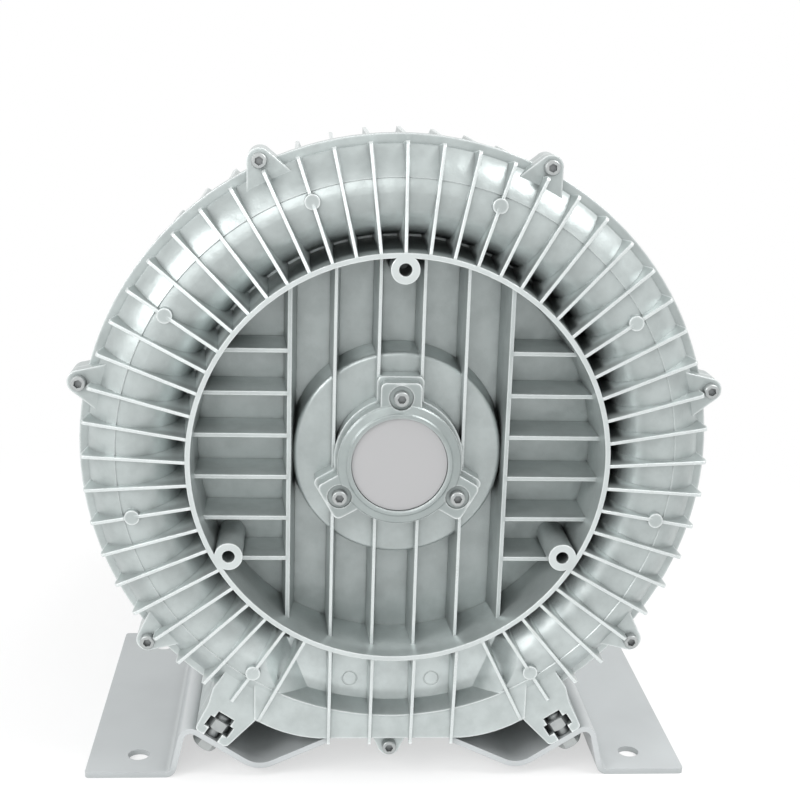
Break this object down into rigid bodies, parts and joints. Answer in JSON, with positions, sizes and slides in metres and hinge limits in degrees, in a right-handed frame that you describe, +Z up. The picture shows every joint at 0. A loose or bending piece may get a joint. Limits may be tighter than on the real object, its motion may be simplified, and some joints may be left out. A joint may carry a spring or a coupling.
{
  "type": "side channel blower",
  "caption": "Side channel blower with a finned round cast casing, ribbed cover, bent foot sheet, flanged rear ports and an inline fan-cooled motor.",
  "frame": {"origin": "centre of the four foot holes, on the floor face of the foot sheet", "axes": "+Z up from the floor; the shaft runs along Y with the ribbed cover at -Y and the motor at +Y; +X to the right seen from the cover"},
  "size_m": [0.4352, 0.4195, 0.4483],
  "materials": {
    "cast_aluminium": "sand cast, silver grey paint",
    "cap_casting": "cast, silver grey paint",
    "cap_plate": "plain satin plate",
    "zinc_steel": "zinc plated",
    "foot_paint": "smooth light grey paint",
    "impeller_aluminium": "machined casting",
    "ground_steel": "ground",
    "bearing_steel": "ground and polished",
    "laminations": "varnished laminations",
    "rotor_aluminium": "turned",
    "copper": "varnished copper coils",
    "seal_rubber": "black",
    "motor_aluminium": "extruded, silver grey paint",
    "cowl_paint": "silver grey paint",
    "fan_plastic": "black",
    "box_paint": "silver grey paint",
    "terminal_plastic": "brown moulding",
    "gland_plastic": "dark grey",
    "sleeve_foam": "grey foam"
  },
  "bodies": {
    "root": {"front_cover": "cast_aluminium", "rear_casing": "cast_aluminium", "cover_screws": "zinc_steel", "bearing_cap": "cap_casting", "cap_disc": "cap_plate", "cap_seal": "seal_rubber", "cap_screws": "zinc_steel", "inlet_sleeve": "sleeve_foam", "outlet_sleeve": "sleeve_foam", "inlet_gasket": "seal_rubber", "outlet_gasket": "seal_rubber", "inlet_flange": "cast_aluminium", "outlet_flange": "cast_aluminium", "port_screws": "zinc_steel", "front_shaft_seal": "seal_rubber", "rear_shaft_seal": "seal_rubber", "motor_frame": "motor_aluminium", "motor_screws": "zinc_steel", "stator_core": "laminations", "windings": "copper", "end_shield": "motor_aluminium", "shield_screws": "zinc_steel", "preload_spring": "ground_steel", "fan_cowl": "cowl_paint", "cowl_screws": "zinc_steel", "terminal_box": "box_paint", "terminal_box_gasket": "seal_rubber", "terminal_box_lid": "box_paint", "lid_screws": "zinc_steel", "terminal_block": "terminal_plastic", "cable_gland": "gland_plastic", "foot_sheet": "foot_paint", "front_foot_bolts": "zinc_steel", "rear_foot_bolts": "zinc_steel", "front_foot_nuts": "zinc_steel", "rear_foot_nuts": "zinc_steel", "front_bearing_outer_ring": "bearing_steel", "drive_bearing_outer_ring": "bearing_steel", "fan_bearing_outer_ring": "bearing_steel"},
    "rotor": {"shaft": "ground_steel", "rotor_core": "rotor_aluminium", "impeller": "impeller_aluminium", "impeller_key": "ground_steel", "impeller_lock_nut": "ground_steel", "impeller_lock_washer": "zinc_steel", "impeller_spacer": "ground_steel", "cooling_fan": "fan_plastic", "fan_clip": "zinc_steel", "front_bearing_inner_ring": "bearing_steel", "drive_bearing_inner_ring": "bearing_steel", "fan_bearing_inner_ring": "bearing_steel"},
    "front_ball_set": {"front_bearing_balls": "bearing_steel"},
    "drive_ball_set": {"drive_bearing_balls": "bearing_steel"},
    "fan_ball_set": {"fan_bearing_balls": "bearing_steel"}
  },
  "joints": [
    {"name": "rotor_spin", "type": "hinge", "parent": "root", "child": "rotor", "pos_m": [0, 0, 0.236], "axis": [0, 1, 0], "continuous": true},
    {"name": "front_balls_roll", "type": "hinge", "parent": "root", "child": "front_ball_set", "pos_m": [0, 0, 0.236], "axis": [0, 1, 0], "continuous": true},
    {"name": "drive_balls_roll", "type": "hinge", "parent": "root", "child": "drive_ball_set", "pos_m": [0, 0, 0.236], "axis": [0, 1, 0], "continuous": true},
    {"name": "fan_balls_roll", "type": "hinge", "parent": "root", "child": "fan_ball_set", "pos_m": [0, 0, 0.236], "axis": [0, 1, 0], "continuous": true}
  ],
  "couplings": [
    {"joint": "front_balls_roll", "follows": "rotor_spin", "ratio": 0.3978},
    {"joint": "drive_balls_roll", "follows": "rotor_spin", "ratio": 0.3862},
    {"joint": "fan_balls_roll", "follows": "rotor_spin", "ratio": 0.3972}
  ]
}
